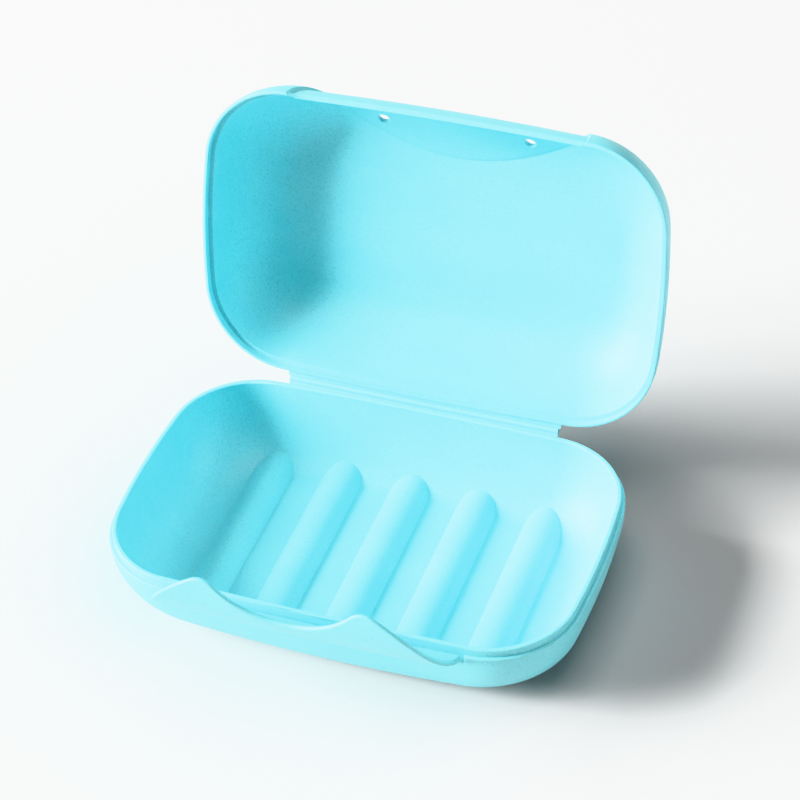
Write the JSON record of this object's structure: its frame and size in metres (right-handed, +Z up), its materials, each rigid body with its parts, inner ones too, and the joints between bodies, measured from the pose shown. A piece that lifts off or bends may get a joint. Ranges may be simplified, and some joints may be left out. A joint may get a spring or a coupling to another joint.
{
  "type": "travel soap box",
  "caption": "Pocket-size rounded soap box: a ribbed tray, a domed lid on a rear fold hinge and a two-lobed front flap whose nubs click into holes in the lid.",
  "frame": {"origin": "middle of the tray's flat underside", "axes": "+X along the length of the box, +Y towards the lid hinge at the back, +Z up"},
  "size_m": [0.112, 0.1209, 0.0913],
  "materials": {
    "turquoise_plastic": "fine satin moulded grain"
  },
  "bodies": {
    "tray": {"base_tray": "turquoise_plastic"},
    "lid": {"lid": "turquoise_plastic"},
    "flap": {"latch_flap": "turquoise_plastic"}
  },
  "joints": [
    {"name": "lid_hinge", "type": "hinge", "parent": "tray", "child": "lid", "pos_m": [0, 0.03773, 0.0202], "axis": [1, 0, 0], "range_deg": [-76, 104]},
    {"name": "flap_hinge", "type": "hinge", "parent": "tray", "child": "flap", "pos_m": [0, -0.03615, 0.01865], "axis": [-1, 0, 0], "range_deg": [-55, 61], "stiffness_Nm_per_rad": 0.01}
  ]
}
